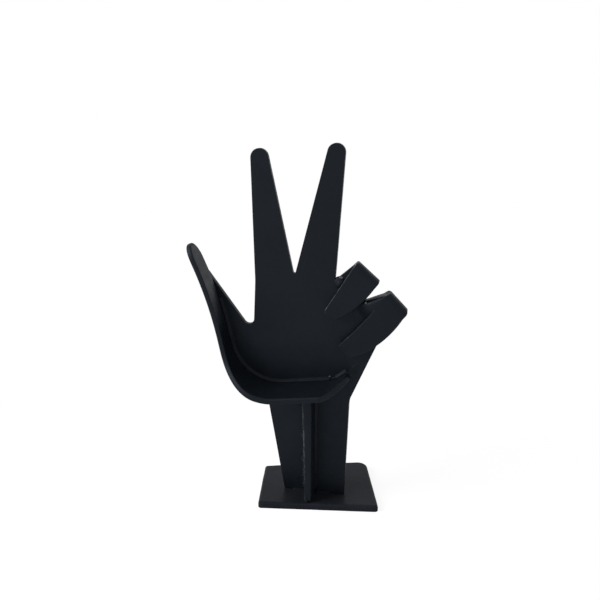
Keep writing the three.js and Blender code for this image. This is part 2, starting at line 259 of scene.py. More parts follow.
class FinishLook(PropertyGroup):
    black: colour("Black", "Darkest tone of the blackened plate", 0.0052, 0.0069, 0.0094)
    worn_black: colour("Worn black", "Lightest tone of the blackened plate", 0.0073, 0.0093, 0.0126)
    foot_dark: colour("Foot, dark", "Darkest tone of the foot plate", 0.0168, 0.0195, 0.0243)
    foot_black: colour("Foot", "Lightest tone of the foot plate", 0.0226, 0.0258, 0.0316)
    weld_dark: colour("Weld, dark", "Darkest tone of the beads", 0.0066, 0.0080, 0.0106)
    weld_black: colour("Weld", "Lightest tone of the beads", 0.0092, 0.0110, 0.0144)
    # Bare iron: the colour of rubbed wear, and of the painted glints and painted edge highlights
    bare: colour("Bare iron", "Iron where the black is rubbed off", 0.10, 0.105, 0.112)
    sheen: colour("Sheen", "Tint of the black's reflection, seen square on", 0.71, 0.83, 1.0)
    roughness: share("Roughness", "Roughness of the blackened plate", 0.44)
    foot_roughness: share("Foot roughness", "Roughness of the foot plate", 0.32)
    gloss: share("Gloss", "Specular level of the blackened plate", 0.17)
    foot_gloss: share("Foot gloss", "Specular level of the foot plate", 0.045)
    weld_gloss: share("Weld gloss", "Specular level of the beads", 0.12)


class StageLook(PropertyGroup):
    lens: number("Lens", "Focal length for a 36 mm wide sensor", 42, unit="CAMERA")
    eye: lengths("Eye", "Place of the camera", 65.49, -354.9, 211.6)
    turn: angle("Turn", "Turn of the camera about the upright", 12)
    tilt: angle("Tilt", "How far the camera looks down", 15.34)
    sky: number("Sky", "Strength of the light from all round", 0.36, min=0)
    key: number("Key lamp", "Power of the large lamp", 3.6, min=0, unit="POWER")
    key_wide: length("Lamp width", "Side of the large lamp", 400)
    key_place: lengths("Lamp place", "Place of the large lamp", -620, -340, 420)
    paper: share("Paper", "Share of the floor's white, near the object, that takes its shadow", 0.4)
    mirrored_paper: share("Mirrored paper", "The same share where the iron mirrors the floor", 0.9)
    mirrored_far: length("Mirrored shade", "Distance at which that share has faded out", 140)
    open_light: share("Open light", "Light on the open floor, at which it looks white", 0.45)
    shade_far: length("Shade", "Distance at which the floor's shadow has faded out", 260)


class IronHandSettings(PropertyGroup):
    stock: PointerProperty(type=StockSizes, name="Stock", description="Plate and bar")
    foot: PointerProperty(type=FootSizes, name="Foot", description="Foot plate")
    hand: PointerProperty(type=HandSizes, name="Hand", description="Wrist, palm and open fingers")
    fold: PointerProperty(type=FoldSizes, name="Fold", description="What the folded fingers share")
    ring: PointerProperty(type=RingSizes, name="Ring finger", description="Folded ring finger")
    little: PointerProperty(type=LittleSizes, name="Little finger", description="Folded little finger")
    band: PointerProperty(type=BandSizes, name="Band", description="Thumb, heel and tray")
    rib: PointerProperty(type=RibSizes, name="Rib", description="Bar in front of the wrist")
    weld: PointerProperty(type=WeldSizes, name="Welds", description="Weld beads")
    finish: PointerProperty(type=FinishLook, name="Finish", description="Colours and gloss")
    stage: PointerProperty(type=StageLook, name="Stage", description="Camera and light")


def settings():
    return bpy.context.scene.iron_hand


# Curves

OUTLINE_STEP = 0.9 * MM
ARC_STEP = math.radians(7)
PATH_STEPS = 6000


def right_of(heading):
    """Unit vectors to the right of headings."""
    return np.stack([np.sin(heading), -np.cos(heading)], axis=-1)


def tangent_headings(circles):
    """Headings of the tangents from each circle to the next.

    Each is the heading of the line of centres less the arcsine of the step in radius over its length.
    """
    step = np.roll(circles, -1, axis=0) - circles
    far = np.hypot(step[:, 0], step[:, 1])
    return np.arctan2(step[:, 1], step[:, 0]) - np.arcsin(np.clip(step[:, 2] / far, -1, 1))


def turns(headings):
    """Turn at each circle, from the heading that reaches it to the one that leaves it, -pi to pi."""
    return (headings - np.roll(headings, 1) + math.pi) % (2 * math.pi) - math.pi


def softened(circles, radius):
    """Gives sharp corners, of radius 0, a radius: each circle moves back along the mitre of its sides."""
    circles = np.array(circles, float)
    leave = tangent_headings(circles)
    before = right_of(np.roll(leave, 1))
    after = right_of(leave)
    mitre = (before + after) / (1 + (before * after).sum(axis=1, keepdims=True))
    sharp = circles[:, 2] == 0
    radii = np.where(sharp, np.sign(turns(leave)) * radius, circles[:, 2])
    circles[:, :2] -= np.where(sharp, radii, 0)[:, None] * mitre
    circles[:, 2] = radii
    return circles


def belt(circles, step):
    """Outline anticlockwise round circles (x, y, radius) and straight along their common tangents.

    A point at heading h on a circle is its centre plus the radius times the vector to the right of h,
    and a radius below zero is a hollow. Returns the points and the outward normals.
    """
    leave = tangent_headings(circles)
    arrive = leave - turns(leave)
    points, normals = [], []
    for (x, y, radius), start, end in zip(circles, arrive, leave):
        count = max(3, math.ceil(abs(end - start) / ARC_STEP))
        normal = right_of(np.linspace(start, end, count))
        points.append(np.array([x, y]) + radius * normal)
        normals.append(normal)
    sides = []
    for arc, normal, following in zip(points, normals, points[1:] + points[:1]):
        side = following[0] - arc[-1]
        count = max(1, round(np.hypot(*side) / step))
        shares = np.arange(1, count)[:, None] / count
        sides.append((arc[-1] + shares * side, np.repeat(normal[-1:], count - 1, axis=0)))
    outline = [part for arc, side in zip(points, sides) for part in (arc, side[0])]
    facing = [part for normal, side in zip(normals, sides) for part in (normal, side[1])]
    return np.concatenate(outline), np.concatenate(facing)


def wander(s, long, seed, waves):
    """Smooth seeded wobble from 0 to 1 round a closed line.

    It is a sum of sines with whole numbers of waves, which weaken as they shorten.
    """
    random = np.random.default_rng(seed)
    order = np.arange(2, waves + 2)
    weight = random.normal(size=waves) / np.sqrt(order)
    phase = random.uniform(0, 2 * math.pi, waves)
    wave = (weight * np.sin(2 * math.pi * order * s[:, None] / long + phase)).sum(axis=1)
    return (wave - wave.min()) / np.ptp(wave)


def bent_path(start, heading, steps):
    """Line of runs and bends, given as (length, turn).

    The heading is linear along each, and the place is the running sum of the heading's (cos, sin).
    Returns a function of the distance along the line that gives x, y and heading, and where each ends.
    """
    long, turn = np.array(steps).T
    ends = np.concatenate([[0], np.cumsum(long)])
    headings = heading + np.concatenate([[0], np.cumsum(turn)])
    fine = np.linspace(0, ends[-1], PATH_STEPS + 1)
    middle = np.interp((fine[1:] + fine[:-1]) / 2, ends, headings)
    x = start[0] + np.concatenate([[0], np.cumsum(np.cos(middle))]) * fine[1]
    y = start[1] + np.concatenate([[0], np.cumsum(np.sin(middle))]) * fine[1]

    def at(s):
        return np.interp(s, fine, x), np.interp(s, fine, y), np.interp(s, ends, headings)

    return at, ends


def smooth(value, low, high):
    """Smooth step from 0 at low to 1 at high."""
    t = np.clip((value - low) / (high - low), 0, 1)
    return t * t * (3 - 2 * t)


# Surfaces

QUARTER_STEPS = 7
CORNER_STEPS = 12  # stations in the round corner at each end of a strip
COLLAR = 0.12 * MM  # flat beside each filed edge, which keeps the shading of the faces flat
SIDE_WEAR = 0.3  # wear of a cut side, which grows to about 0.9 half way round its edges
STEADY = 0.1  # least share of its wander by which a cut is drawn in
EDGE_VARY = 0.3  # share by which filed radii vary along an outline
SLOW_WAVE = 4 * MM  # length of the wobble in a bead's size
WOBBLE_LOOP = 1.3  # length of that wobble's closed line, in beads, so that a bead's ends differ
FAST_WAVES = 12  # waves in the drift of its ripples
RIPPLE_STEPS = 7
RIPPLE_DRIFT = 0.5  # how far ripples stray from even spacing, in pitches
RIPPLE_BOW = 0.45  # how far they run ahead in the middle of the face, in legs
RIPPLE_POWER = 0.8  # below 1 their crests are broad and their valleys sharp
RIPPLE_WEAR = 4  # wear of their crests, in heights of a ripple
SQUARE, FULL, LOW, FLAT, HOLLOW = 0.5, 1.4, 1.8, 1.9, 3  # powers of the sections of beads in corners
DOME_HEIGHT = 0.55  # height of a bead over a butt joint, in half widths
DROP_HEIGHT = 0.6  # height of a drop, in radii
DROP_FROM, DROP_TO = -0.3, 1.5  # elevations of a drop's lowest and highest ring
ASKEW = (0.3, 0.5, 0.8)  # direction that no face with drops has
SAME_POINT = 0.002 * MM


def grid_faces(rows, columns, close_rows=False, close_columns=False):
    """Quads between the neighbours on a grid of points numbered row by row."""
    row = np.arange(rows if close_rows else rows - 1)[:, None]
    column = np.arange(columns if close_columns else columns - 1)[None, :]
    next_row = (row + 1) % rows
    next_column = (column + 1) % columns
    corners = [
        row * columns + column,
        next_row * columns + column,
        next_row * columns + next_column,
        row * columns + next_column,
    ]
    return np.stack(np.broadcast_arrays(*corners), axis=-1).reshape(-1, 4)


def edge_profile(first, second, thick):
    """Section of a filed edge: collar, quarter circle, straight through, quarter circle and collar.

    first and second are the radii at the two faces, columns with a row for each place on the outline.
    Returns the inset from the outline, the depth below the first face and the wear, which is greatest
    half way round each quarter.
    """
    quarter = np.linspace(0, math.pi / 2, QUARTER_STEPS)

    def half(radius):
        inset = radius * np.append(1, 1 - np.sin(quarter))
        inset[:, 0] += COLLAR
        return inset, radius * np.append(0, 1 - np.cos(quarter))

    inset, depth = half(first)
    inset_back, depth_back = half(second)
    inset = np.concatenate([inset, inset_back[:, ::-1]], axis=1)
    depth = np.concatenate([depth, thick - depth_back[:, ::-1]], axis=1)
    wear = np.append(0, SIDE_WEAR * np.sin(quarter) + (1 - SIDE_WEAR) * np.sin(2 * quarter))
    return inset, depth, np.append(wear, wear[::-1])


def plate_surface(circles, thick, edges, cut, seed, step=OUTLINE_STEP, waves=24):
    """Flat plate: the profile of a filed edge carried round an outline, and a flat face on each side.

    edges are the radii at the two faces. The outline is drawn in by up to cut where it was cut
    unsteadily, and the filed radii vary along it. Returns points as (x, y, depth), faces and wear.
    """
    points, normals = belt(circles, step)
    stride = np.hypot(*np.diff(points, axis=0, append=points[:1]).T)
    s = np.cumsum(stride) - stride
    drawn = cut * (STEADY + (1 - STEADY) * wander(s, stride.sum(), seed, waves))
    points = points - normals * drawn[:, None]
    vary = 1 - EDGE_VARY * wander(s, stride.sum(), seed + 1, waves)[:, None]
    inset, depth, wear = edge_profile(edges[0] * vary, edges[1] * vary, thick)
    place = points[:, None, :] - normals[:, None, :] * inset[..., None]
    rows, columns = inset.shape
    ring = np.arange(rows) * columns
    faces = grid_faces(rows, columns, close_rows=True).tolist()
    faces += [ring[::-1].tolist(), (ring + columns - 1).tolist()]
    surface = np.concatenate([place, depth[..., None]], axis=-1)
    return surface.reshape(-1, 3), faces, np.tile(wear, rows)


def stations(long, rounds, step):
    """Distances along a strip, a step apart, that crowd towards ends of given corner radii as 1 - cos."""
    ease = 1 - np.cos(np.linspace(0, math.pi / 2, CORNER_STEPS))
    first, last = rounds
    count = math.ceil((long - first - last) / step)
    middle = np.linspace(first, long - last, count + 1)[1:-1]
    return np.concatenate([first * ease, middle, long - last * ease[::-1]])


def drawn_in(far, inset, radius, long):
    """How far a side is drawn in at a distance from an end, on a line inset from the outline.

    The end's corners are quarter ellipses, of a radius across the strip and a length along it.
    """
    share = (long - np.clip(far, inset, long)) / (long - inset)
    return radius - (radius - inset) * np.sqrt(1 - share**2)


def strip_surface(at, long, sides, edges, corners, rub, place, step=0.8 * MM):
    """Bent strip of plate: a section with filed edges carried along a line, drawn in at round corners.

    For each of its two sides, sides(s) gives where it lies across the strip, edges(s) its radii at the
    inner and the outer face, corners the (radius, length) of its corners at the start and the end, and
    rub(s) the share of wear at those two faces. place turns (along the line's plane, up in it, across)
    into the part's frame. The section at a station starts at the first side's inner edge, goes round
    that side, over the outer face and back round the other side.
    """
    s = stations(long, [max(side[end][1] for side in corners) for end in (0, 1)], step)[:, None]
    halves, worn = [], []
    for k in (0, 1):
        inset, depth, wear = edge_profile(*edges(s)[k], settings().stock.plate)
        along = np.clip(s, inset, long - inset)
        start, end = corners[k]
        draw = np.maximum(drawn_in(s, inset, *start), drawn_in(long - s, inset, *end))
        across = sides(along)[k] + (draw if k == 0 else -draw)
        x, y, heading = at(along)
        inner, outer = rub(s)[k]
        halves.append(place(x + depth * np.sin(heading), y - depth * np.cos(heading), across))
        worn.append(wear * np.repeat(np.concatenate([inner, outer], axis=1), len(wear) // 2, axis=1))
    surface = np.concatenate([halves[0], halves[1][:, ::-1]], axis=1)
    worn = np.concatenate([worn[0], worn[1][:, ::-1]], axis=1)
    rows, columns = worn.shape
    side = np.arange(columns // 2 - 1)
    across = np.stack([side, side + 1, columns - 2 - side, columns - 1 - side], axis=1)
    faces = [grid_faces(rows, columns, close_columns=True), across, across[:, ::-1] + (rows - 1) * columns]
    return surface.reshape(-1, 3), np.concatenate(faces).tolist(), worn.ravel()


def fillet_section(power):
    """Section in a corner: cos and sin to a power, which is 1 for a quarter circle and 2 for a flat bevel.

    A power below 1 makes it squarer, and it then has more steps, which shorten towards its ends.
    """
    if power < 1:
        x = np.linspace(0, 1, 31)
        x = x**2 / (x**2 + (1 - x) ** 2)
    else:
        x = np.linspace(0, 1, 15)
    q = math.pi / 2 * x
    return np.cos(q) ** power, np.sin(q) ** power, np.sin(2 * q), [(-1, -1)]


def dome_section():
    """Low dome over a butt joint: half an ellipse."""
    q = np.linspace(0, math.pi, 19)
    return np.cos(q), DOME_HEIGHT * np.sin(q), np.sin(q), []


def bead_surface(line, across, up, size, section, ripple, uneven, seed, blunt=0.3):
    """Weld bead: a section in units of its size, carried along a line of points and drawn in at both ends.

    blunt is the share of its size left at the ends. The size is uneven by a slow seeded wobble, and the
    face swells by the ripple |sin(pi (s - bow) / pitch)|, whose crests run ahead in the middle of the
    face. The section's toes and root lie below the plates.
    """
    weld = settings().weld
    a, b, crown, roots = section
    stride = np.linalg.norm(np.diff(line, axis=0), axis=1)
    s = np.concatenate([[0], np.cumsum(stride)])
    end = np.minimum(s, s[-1] - s) / np.minimum(size, s[-1] / 3)
    taper = blunt + (1 - blunt) * np.sqrt(1 - (1 - np.clip(end, 0, 1)) ** 2)
    waves = max(2, round(s[-1] / SLOW_WAVE))
    loop = WOBBLE_LOOP * s[-1]
    slow = 1 + uneven * (2 * wander(s, loop, seed, waves) - 1)
    phase = s + RIPPLE_DRIFT * weld.pitch * wander(s, loop, seed + 1, FAST_WAVES)
    ahead = phase[:, None] - RIPPLE_BOW * size[:, None] * crown
    crest = np.abs(np.sin(math.pi * ahead / weld.pitch)) ** RIPPLE_POWER
    swell = 1 + ripple * crown * (crest - 0.5)
    reach = (size * taper * slow)[:, None]
    last_toe = (-1, 0) if roots else (0, -1)
    below = [(a[-1], b[-1], *last_toe), *[(0, 0, *root) for root in roots], (a[0], b[0], 0, -1)]
    below_a, below_b, aside, down = np.array(below, float).T
    u = np.concatenate([reach * swell * a, reach * below_a + weld.sink * aside], axis=1)
    v = np.concatenate([reach * swell * b, reach * below_b + weld.sink * down], axis=1)
    surface = line[:, None, :] + u[..., None] * across[:, None, :] + v[..., None] * up[:, None, :]
    rows, columns = u.shape
    faces = grid_faces(rows, columns, close_columns=True).tolist()
    faces += [list(range(columns))[::-1], list(range((rows - 1) * columns, rows * columns))]
    crests = RIPPLE_WEAR * ripple * crown * crest
    wear = np.concatenate([crests, np.zeros((rows, columns - len(a)))], axis=1)
    return surface.reshape(-1, 3), faces, wear.ravel()


def straight_bead(start, end, across, up, sizes, section, ripple, uneven, seed):
    """Bead between two points, whose size runs from one value to the other."""
    start, end = np.array(start), np.array(end)
    count = math.ceil(np.linalg.norm(end - start) / (settings().weld.pitch / RIPPLE_STEPS))
    t = np.linspace(0, 1, count + 1)
    line = start + t[:, None] * (end - start)
    repeat = np.ones((count + 1, 1))
    size = sizes[0] + t * (sizes[1] - sizes[0])
    across, up = repeat * np.array(across), repeat * np.array(up)
    return bead_surface(line, across, up, size, section, ripple, uneven, seed)


def drop_spots(drops, place):
    """Drops given in millimetres, as three lengths and a radius, each put in its place."""
    return [(*place(*np.array(drop[:3]) * MM), drop[3] * MM) for drop in drops]


def spatter(spots, up, shine):
    """Drops of weld metal, each a low dome of rings about its own spot (x, y, z, radius).

    up is where the face under them faces, and shine is their wear; set high, it paints a glint on them in
    bare iron.
    """
    side = np.cross(up, ASKEW)
    side /= np.linalg.norm(side)
    other = np.cross(up, side)
    ring = np.linspace(0, 2 * math.pi, 24, endpoint=False)
    rise = np.sin(np.linspace(DROP_FROM, DROP_TO, 10))
    flat = np.sqrt(1 - rise**2)[:, None]
    dome = (
        flat[..., None] * (np.cos(ring)[:, None] * side + np.sin(ring)[:, None] * other)
        + DROP_HEIGHT * rise[:, None, None] * up
    ).reshape(-1, 3)
    spots = np.array(spots, float)
    points = spots[:, None, :3] + spots[:, None, 3:] * dome
    rows, columns = len(rise), len(ring)
    caps = [list(range(columns))[::-1], list(range((rows - 1) * columns, rows * columns))]
    one = grid_faces(rows, columns, close_columns=True).tolist() + caps
    faces = [[k + n * len(dome) for k in face] for n in range(len(spots)) for face in one]
    return points.reshape(-1, 3), faces, np.full(len(points) * len(dome), shine)


def joined(*surfaces):
    """Several surfaces as one, with their points numbered on."""
    points, faces, wear = [], [], []
    count = 0
    for surface in surfaces:
        points.append(surface[0])
        faces += [[k + count for k in face] for face in surface[1]]
        wear.append(surface[2])
        count += len(surface[0])
    return np.concatenate(points), faces, np.concatenate(wear)


def finished(name, surface, material, node):
    """Makes a surface a piece of the object: one closed mesh that faces out and stands for a node.

    Its large flat faces, which have more than four corners, are shaded flat.
    """
    points, faces, wear = surface
    mesh = bpy.data.meshes.new(name)
    mesh.from_pydata(points.tolist(), [], faces)
    mesh.attributes.new(WEAR_AND_GLINT, "FLOAT", "POINT").data.foreach_set("value", wear.astype(np.float32))
    tidy = bmesh.new()
    tidy.from_mesh(mesh)
    bmesh.ops.remove_doubles(tidy, verts=tidy.verts, dist=SAME_POINT)
    bmesh.ops.recalc_face_normals(tidy, faces=tidy.faces)
    tidy.to_mesh(mesh)
    tidy.free()
    corners = np.empty(len(mesh.polygons), np.int32)
    mesh.polygons.foreach_get("loop_total", corners)
    mesh.polygons.foreach_set("use_smooth", corners <= 4)
    mesh.materials.append(material)
    piece = bpy.data.objects.new(name, mesh)
    bpy.context.scene.collection.objects.link(piece)
    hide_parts(node)
    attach(piece, BODY)


# Places on the hand

FRONT = np.array([0.0, -1, 0])
REAR = -FRONT
UP = np.array([0.0, 0, 1])
RIGHT = np.array([1.0, 0, 0])


def on_hand(x, depth, height):
    """Part frame of a point right of the wrist's middle, behind the palm face and above the foot."""
    hand, foot = settings().hand, settings().foot
    place = hand.right + x, depth - hand.ahead, foot.thick + height
    return np.stack(np.broadcast_arrays(*place), axis=-1)


def band_path():
    """Inner face of the thumb band, from the thumb tip round the heel to the end of the lip."""
    band = settings().band
    bends = [
        (band.thumb_run, 0),
        (abs(band.thumb_bend) * band.thumb_radius, band.thumb_bend),
        (band.heel_run, 0),
        (abs(band.heel_bend) * band.heel_radius, band.heel_bend),
        (band.tray_run, 0),
        (abs(band.lip_bend) * band.lip_radius, band.lip_bend),
        (band.lip_run, 0),
    ]
    return bent_path(band.start, band.heading, bends)


def beside(at, s, out):
    """Points of the band's plane at distances along it, out from its inner face."""
    x, y, heading = at(np.asarray(s, float))
    return np.stack([x + out * np.sin(heading), y - out * np.cos(heading)], axis=-1)


def rib_sides():
    """Left side, right side and height of the bar, which stops a root gap under the tray."""
    size = settings()
    at, ends = band_path()
    left = size.rib.x - size.stock.rib / 2
    under = beside(at, ends[4:6], size.stock.plate)
    return left, left + size.stock.rib, np.interp(left, under[:, 0], under[:, 1]) - size.stock.gap


def finger_frame(root, far):
    """A folded finger's root, directions along the knuckle line and away from the palm, and width."""
    root, far = np.array(root), np.array(far)
    wide = np.hypot(*(far - root))
    along = np.array([far[0] - root[0], 0, far[1] - root[1]]) / wide
    return on_hand(root[0], 0, root[1]), along, np.array([-along[2], 0, along[0]]), wide


def finger_path(size, wide):
    """Inner face of a folded finger from its root over the fold to the tip, and its two sides.

    The sides are straight from the root to the fold and on to the tip, plus a parabola's bow.
    """
    fold, stock = settings().fold, settings().stock
    inner = fold.gap / 2
    bend = math.pi + fold.close
    level = size.rise - inner - stock.plate - stock.gap
    back = size.reach - inner - stock.plate
    at, ends = bent_path((stock.gap, 0), 0, [(level, 0), (bend * inner, bend), (back, 0)])
    turning = level + math.pi * inner / 2
    long = ends[-1]

    def sides(s):
        after = np.clip((s - turning) / (long - turning), 0, 1)
        bulge = 4 * after * (1 - after)
        low = np.interp(s, [0, turning, long], size.left)
        inside = np.interp(s, [0, turning, long], size.right)
        return low + size.bow[0] * bulge, wide - inside + size.bow[1] * bulge

    return at, ends, sides


# Finishes

COLOR_A, COLOR_B, COLOR_OUT = 6, 7, 2  # colour sockets of a Mix node
SMOOTHER, ROUGHER = 0.05, 0.07  # how far roughness drifts below and above its value
# The rubbed iron's colour and metal also paint the glints and edge highlights.
BARE_METAL = 0.7  # how metallic the rubbed iron is
PLATE_RELIEF = 0.02 * MM
WELD_RELIEF = 0.03 * MM


def node(tree, kind, sockets=None, **options):
    """A shader node with its options and sockets set; a socket may be given another node's output."""
    made = tree.nodes.new(kind)
    for name, value in options.items():
        setattr(made, name, value)
    for name, value in (sockets or {}).items():
        if isinstance(value, bpy.types.NodeSocket):
            tree.links.new(value, made.inputs[name])
        else:
            made.inputs[name].default_value = value
    return made


def noise(tree, vector, scale, detail, roughness=0.5):
    sockets = {"Vector": vector, "Scale": scale, "Detail": detail, "Roughness": roughness}
    return node(tree, "ShaderNodeTexNoise", sockets).outputs["Fac"]


def math_node(tree, operation, a, b):
    return node(tree, "ShaderNodeMath", {0: a, 1: b}, operation=operation).outputs[0]


def ramped(tree, value, low, high, to_low=0.0, to_high=1.0):
    sockets = {"Value": value, "From Min": low, "From Max": high, "To Min": to_low, "To Max": to_high}
    return node(tree, "ShaderNodeMapRange", sockets, interpolation_type="SMOOTHSTEP").outputs[0]


def new_group(name, inputs, output, kind):
    """An empty shader node group with its sockets: returns the tree, its input node and its output node."""
    tree = bpy.data.node_groups.new(name, "ShaderNodeTree")
    for label, socket in inputs.items():
        tree.interface.new_socket(label, in_out="INPUT", socket_type=socket)
    tree.interface.new_socket(output, in_out="OUTPUT", socket_type=kind)
    return tree, tree.nodes.new("NodeGroupInput").outputs, tree.nodes.new("NodeGroupOutput").inputs


def mottle_group():
    """Black that wanders between two tones: broad clouds, and finer scale from the heat."""
    inputs = {"Vector": "NodeSocketVector", "Dark": "NodeSocketColor", "Light": "NodeSocketColor"}
    tree, given, out = new_group("Heat mottle", inputs, "Color", "NodeSocketColor")
    clouds = noise(tree, given["Vector"], scale=48, detail=3)
    flakes = noise(tree, given["Vector"], scale=420, detail=5, roughness=0.62)
    clouds = math_node(tree, "MULTIPLY", clouds, 0.6)
    tone = math_node(tree, "ADD", clouds, math_node(tree, "MULTIPLY", flakes, 0.4))
    sockets = {"Factor": ramped(tree, tone, 0.36, 0.64), COLOR_A: given["Dark"], COLOR_B: given["Light"]}
    mix = node(tree, "ShaderNodeMix", sockets, data_type="RGBA")
    tree.links.new(mix.outputs[COLOR_OUT], out["Color"])
    return tree


def rub_and_glint_group():
    """Where the black is rubbed off, broken up by noise: worn edges, and the painted glints and painted
    edge highlights that the same attribute carries.
    """
    inputs = {"Vector": "NodeSocketVector", "Wear": "NodeSocketFloat"}
    tree, given, out = new_group("Rubbed edge and glint", inputs, "Mask", "NodeSocketFloat")
    patches = noise(tree, given["Vector"], scale=210, detail=5, roughness=0.6)
    worn = math_node(tree, "MULTIPLY", given["Wear"], patches)
    tree.links.new(ramped(tree, worn, 0.36, 0.66), out["Mask"])
    return tree


def skin_group():
    """Height of the surface: mill grain, shallow pits and the slow waves of rolled plate."""
    tree, given, out = new_group("Rolled skin", {"Vector": "NodeSocketVector"}, "Height", "NodeSocketFloat")
    grain = noise(tree, given["Vector"], scale=2600, detail=3, roughness=0.6)
    grain = math_node(tree, "MULTIPLY", grain, 0.35)
    pits = node(tree, "ShaderNodeTexVoronoi", {"Vector": given["Vector"], "Scale": 900}).outputs["Distance"]
    pits = math_node(tree, "MULTIPLY", ramped(tree, pits, 0.05, 0.3), 0.15)
    waves = math_node(tree, "MULTIPLY", noise(tree, given["Vector"], scale=95, detail=2), 2.2)
    tree.links.new(math_node(tree, "ADD", math_node(tree, "ADD", grain, pits), waves), out["Height"])
    return tree


def gloss_group():
    """Roughness that drifts between two values over the surface."""
    inputs = {"Vector": "NodeSocketVector", "Low": "NodeSocketFloat", "High": "NodeSocketFloat"}
    tree, given, out = new_group("Uneven gloss", inputs, "Roughness", "NodeSocketFloat")
    drift = noise(tree, given["Vector"], scale=160, detail=4, roughness=0.6)
    tree.links.new(ramped(tree, drift, 0.3, 0.7, given["Low"], given["High"]), out["Roughness"])
    return tree


def shared(name, build):
    """A node group by name, built the first time that it is asked for."""
    return bpy.data.node_groups.get(name) or build()


def iron(name, dark, light, rough, gloss_level, relief):
    """Blackened iron: mottled tone, rubbed edges and painted glints in bare iron, uneven gloss and a fine
    skin. Returns the material.
    """
    finish = settings().finish
    material = bpy.data.materials.get(name)
    if material:
        return material
    material = bpy.data.materials.new(name)
    material.use_nodes = True
    tree = material.node_tree
    tree.nodes.clear()
    place = node(tree, "ShaderNodeTexCoord").outputs["Object"]
    wear = node(tree, "ShaderNodeAttribute", attribute_name=WEAR_AND_GLINT).outputs["Fac"]

    def group(label, build, **sockets):
        options = {"node_tree": shared(label, build)}
        return node(tree, "ShaderNodeGroup", {"Vector": place, **sockets}, **options).outputs[0]

    tone = group("Heat mottle", mottle_group, Dark=(*dark, 1), Light=(*light, 1))
    mask = group("Rubbed edge and glint", rub_and_glint_group, Wear=wear)
    gloss = group("Uneven gloss", gloss_group, Low=rough - SMOOTHER, High=rough + ROUGHER)
    height = group("Rolled skin", skin_group)
    mix = {"Factor": mask, COLOR_A: tone, COLOR_B: (*finish.bare, 1)}
    color = node(tree, "ShaderNodeMix", mix, data_type="RGBA").outputs[COLOR_OUT]
    keep = math_node(tree, "MINIMUM", math_node(tree, "ADD", wear, 1.0), 1.0)
    skin = {"Height": height, "Distance": relief, "Strength": 1.0}
    bump = node(tree, "ShaderNodeBump", skin).outputs["Normal"]
    surface = {
        "Base Color": color,
        "Metallic": math_node(tree, "MULTIPLY", mask, BARE_METAL),
        "Roughness": gloss,
        "Normal": bump,
        "Specular IOR Level": math_node(tree, "MULTIPLY", keep, gloss_level),
        "Specular Tint": (*finish.sheen, 1),
    }
    shader = node(tree, "ShaderNodeBsdfPrincipled", surface)
    node(tree, "ShaderNodeOutputMaterial", {"Surface": shader.outputs["BSDF"]})
    return material


def plate_iron():
    finish = settings().finish
    tones = finish.black, finish.worn_black
    return iron("Blackened plate", *tones, finish.roughness, finish.gloss, PLATE_RELIEF)


def foot_iron():
    finish = settings().finish
    tones = finish.foot_dark, finish.foot_black
    return iron("Blackened foot", *tones, finish.foot_roughness, finish.foot_gloss, PLATE_RELIEF)


def weld_iron():
    finish = settings().finish
    tones = finish.weld_dark, finish.weld_black
    return iron("Weld metal", *tones, finish.roughness, finish.weld_gloss, WELD_RELIEF)


# Pieces

CUT_RUB = 0.4  # share of the wear of filed edges that the foot and the hand have
TIP_RUB = 0.7  # the same at the thumb's tip
# The bar's left edge is rubbed bare, which also paints the highlight of light from the left; its toe's wear
# paints a glint in bare iron.
RIB_RUB_AND_HIGHLIGHT = 0.98  # the same along the bar's left edge
TOE_GLINT = 0.9  # wear of the bar's toe
RUB_START = 0.05  # share of a finger's length over which its rubbed edge sets in
FOLD_DULL = 0.4  # how far heat dulled the outermost line of the folds
CLOSING_DULL = 0.4  # and the side of the bead that closes a fold
TRAY_DULL = 0.3  # and the bead in the tray
TACK_DULL = 0.6  # and the beads at the foot of the wrist
CLOSING_STEPS = 120
CLOSING_THIN = 0.06  # share of its height that the bead that closes a fold still has at its toe
CLOSING_FADE = 8  # power by which its dullness fades from its side to its face
CRATER_THIN = 0.6  # share of its leg that the tray's bead loses after its crater
LIP_PAST = (-0.3, 1.1)  # from where to where the fillet at the lip's end runs, in thicknesses of the lip

# Drops of spatter, in millimetres. At a knuckle: along its line, away from the palm, into it and radius,
# with the pool at the end of the bead first. At the bar: from its left side, behind the palm face or the
# bar's front, above the foot and radius.
RING_DROPS = [(3.2, 0.0, 1.1, 3.5), (1.4, 2.3, 0, 0.7), (2.1, 2.8, 0, 0.8)]
LITTLE_DROPS = [(2.6, 0.6, 0.6, 2.0), (1.4, 2.8, -3.9, 0.7)]
TOE_DROP = (1.5, 0, 1.1, 0.95)  # on the front of the bar
RIB_DROPS = [(-1.7, -1.9, 9.8, 1.1), (-5.7, 0, 7.6, 0.5), (-2.4, -1.4, 7.4, 0.6), (-6.8, 0, 12.8, 0.3)]
# Wear of the drops: the pool's stays dark, the others' paints glints and light specks in bare iron
POOL_SHINE, KNUCKLE_GLINT, RIB_SPECK_GLINT, CRATER_GLINT = 0.3, 1.6, 0.75, 1.1


class IRONHAND_OT_foot(Operator):
    """Make the foot plate, cut by eye and worn at one corner"""

    bl_idname = "iron_hand.foot"
    bl_label = "Foot plate"

    def execute(self, context):
        size = settings().foot
        corners = np.array([
            (-size.front / 2, -size.left / 2, size.corner),
            (size.front / 2, -size.right / 2, size.corner),
            (size.back / 2, size.right / 2, size.worn_corner),
            (-size.back / 2, size.left / 2, size.corner),
        ])
        corners[:, :2] -= np.sign(corners[:, :2]) * corners[:, 2:]
        edges = size.edge, settings().stock.edge
        points, faces, wear = plate_surface(corners, size.thick, edges, size.wander, seed=3)
        turn = np.array(Matrix.Rotation(size.turn, 2))
        points[:, :2] = points[:, :2] @ turn.T
        points[:, 2] = size.thick - points[:, 2]
        finished("foot", (points, faces, CUT_RUB * wear), foot_iron(), "base_plate")
        return {"FINISHED"}


